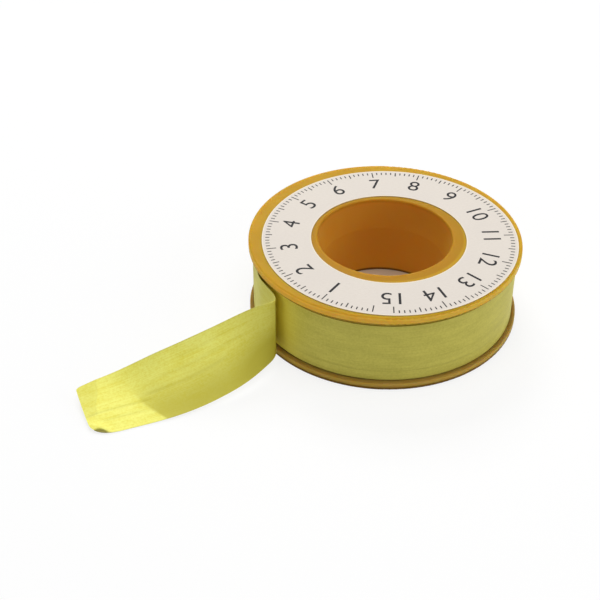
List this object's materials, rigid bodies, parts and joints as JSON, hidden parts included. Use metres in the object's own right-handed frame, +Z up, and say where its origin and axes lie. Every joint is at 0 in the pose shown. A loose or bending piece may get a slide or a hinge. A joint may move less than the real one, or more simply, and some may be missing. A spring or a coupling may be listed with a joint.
{
  "type": "thread seal tape roll",
  "caption": "Flanged hollow spool wound with soft yellow thread seal tape, a ring label on top and the free end pulled out and lying on the table.",
  "frame": {"origin": "middle of the core bore, on the spool's axis, halfway between the outer faces of the two flanges", "axes": "+Z up along the spool's axis, towards the labelled flange; -Y towards the viewer of the picture; +X to the viewer's right"},
  "size_m": [0.0834, 0.07, 0.0173],
  "materials": {
    "spool_plastic": "satin",
    "label_paper": "matte",
    "tape": "satin"
  },
  "bodies": {
    "spool": {"spool_body": "spool_plastic", "lower_flange": "spool_plastic", "label": "label_paper", "tape_pack": "tape"},
    "tail": {"tape_outer_turn": "tape", "tape_tail": "tape"}
  },
  "joints": [
    {"name": "unwind", "type": "hinge", "parent": "spool", "child": "tail", "pos_m": [0, 0, 0], "axis": [0, 0, -1], "continuous": true}
  ]
}
